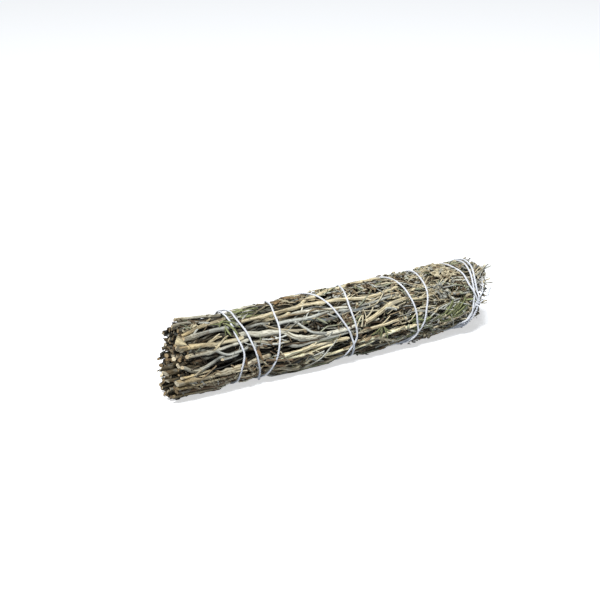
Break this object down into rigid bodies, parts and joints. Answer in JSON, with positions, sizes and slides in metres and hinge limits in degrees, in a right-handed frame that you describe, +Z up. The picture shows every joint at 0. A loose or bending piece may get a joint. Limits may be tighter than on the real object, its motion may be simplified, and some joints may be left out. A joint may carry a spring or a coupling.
{
  "type": "smudge stick",
  "caption": "Bundle of dried woody herb sprigs bound end to end with a criss-cross wound cotton thread, knotted at the leafy tips.",
  "frame": {"origin": "on the ground under the middle of the bundle", "axes": "+X along the bundle from the cut ends to the leafy tips, +Z up; the knot is on the -Y side"},
  "size_m": [0.2158, 0.049, 0.043],
  "materials": {
    "straw_sprig": "dry straw-coloured bark, matte",
    "grey_sprig": "dry weathered grey bark, matte",
    "brown_sprig": "dry brown bark and curled leaves, matte",
    "green_sprig": "dry bark with grey-green needle leaves, matte",
    "cotton_thread": "twisted white cotton, slightly fuzzy"
  },
  "bodies": {
    "root": {"core_sprig": "straw_sprig", "inner_sprig_01": "grey_sprig", "inner_sprig_02": "straw_sprig", "inner_sprig_03": "grey_sprig", "inner_sprig_04": "straw_sprig", "inner_sprig_05": "green_sprig", "inner_sprig_06": "brown_sprig", "middle_sprig_01": "brown_sprig", "middle_sprig_02": "grey_sprig", "middle_sprig_03": "straw_sprig", "middle_sprig_04": "grey_sprig", "middle_sprig_05": "straw_sprig", "middle_sprig_06": "green_sprig", "middle_sprig_07": "brown_sprig", "middle_sprig_08": "grey_sprig", "middle_sprig_09": "straw_sprig", "middle_sprig_10": "grey_sprig", "middle_sprig_11": "straw_sprig", "middle_sprig_12": "green_sprig", "outer_sprig_01": "green_sprig", "outer_sprig_02": "brown_sprig", "outer_sprig_03": "grey_sprig", "outer_sprig_04": "straw_sprig", "outer_sprig_05": "grey_sprig", "outer_sprig_06": "straw_sprig", "outer_sprig_07": "green_sprig", "outer_sprig_08": "brown_sprig", "outer_sprig_09": "grey_sprig", "outer_sprig_10": "straw_sprig", "outer_sprig_11": "grey_sprig", "outer_sprig_12": "straw_sprig", "outer_sprig_13": "green_sprig", "outer_sprig_14": "brown_sprig", "outer_sprig_15": "grey_sprig", "outer_sprig_16": "straw_sprig", "outer_sprig_17": "grey_sprig", "outer_sprig_18": "straw_sprig", "binding_thread": "cotton_thread"}
  },
  "joints": []
}
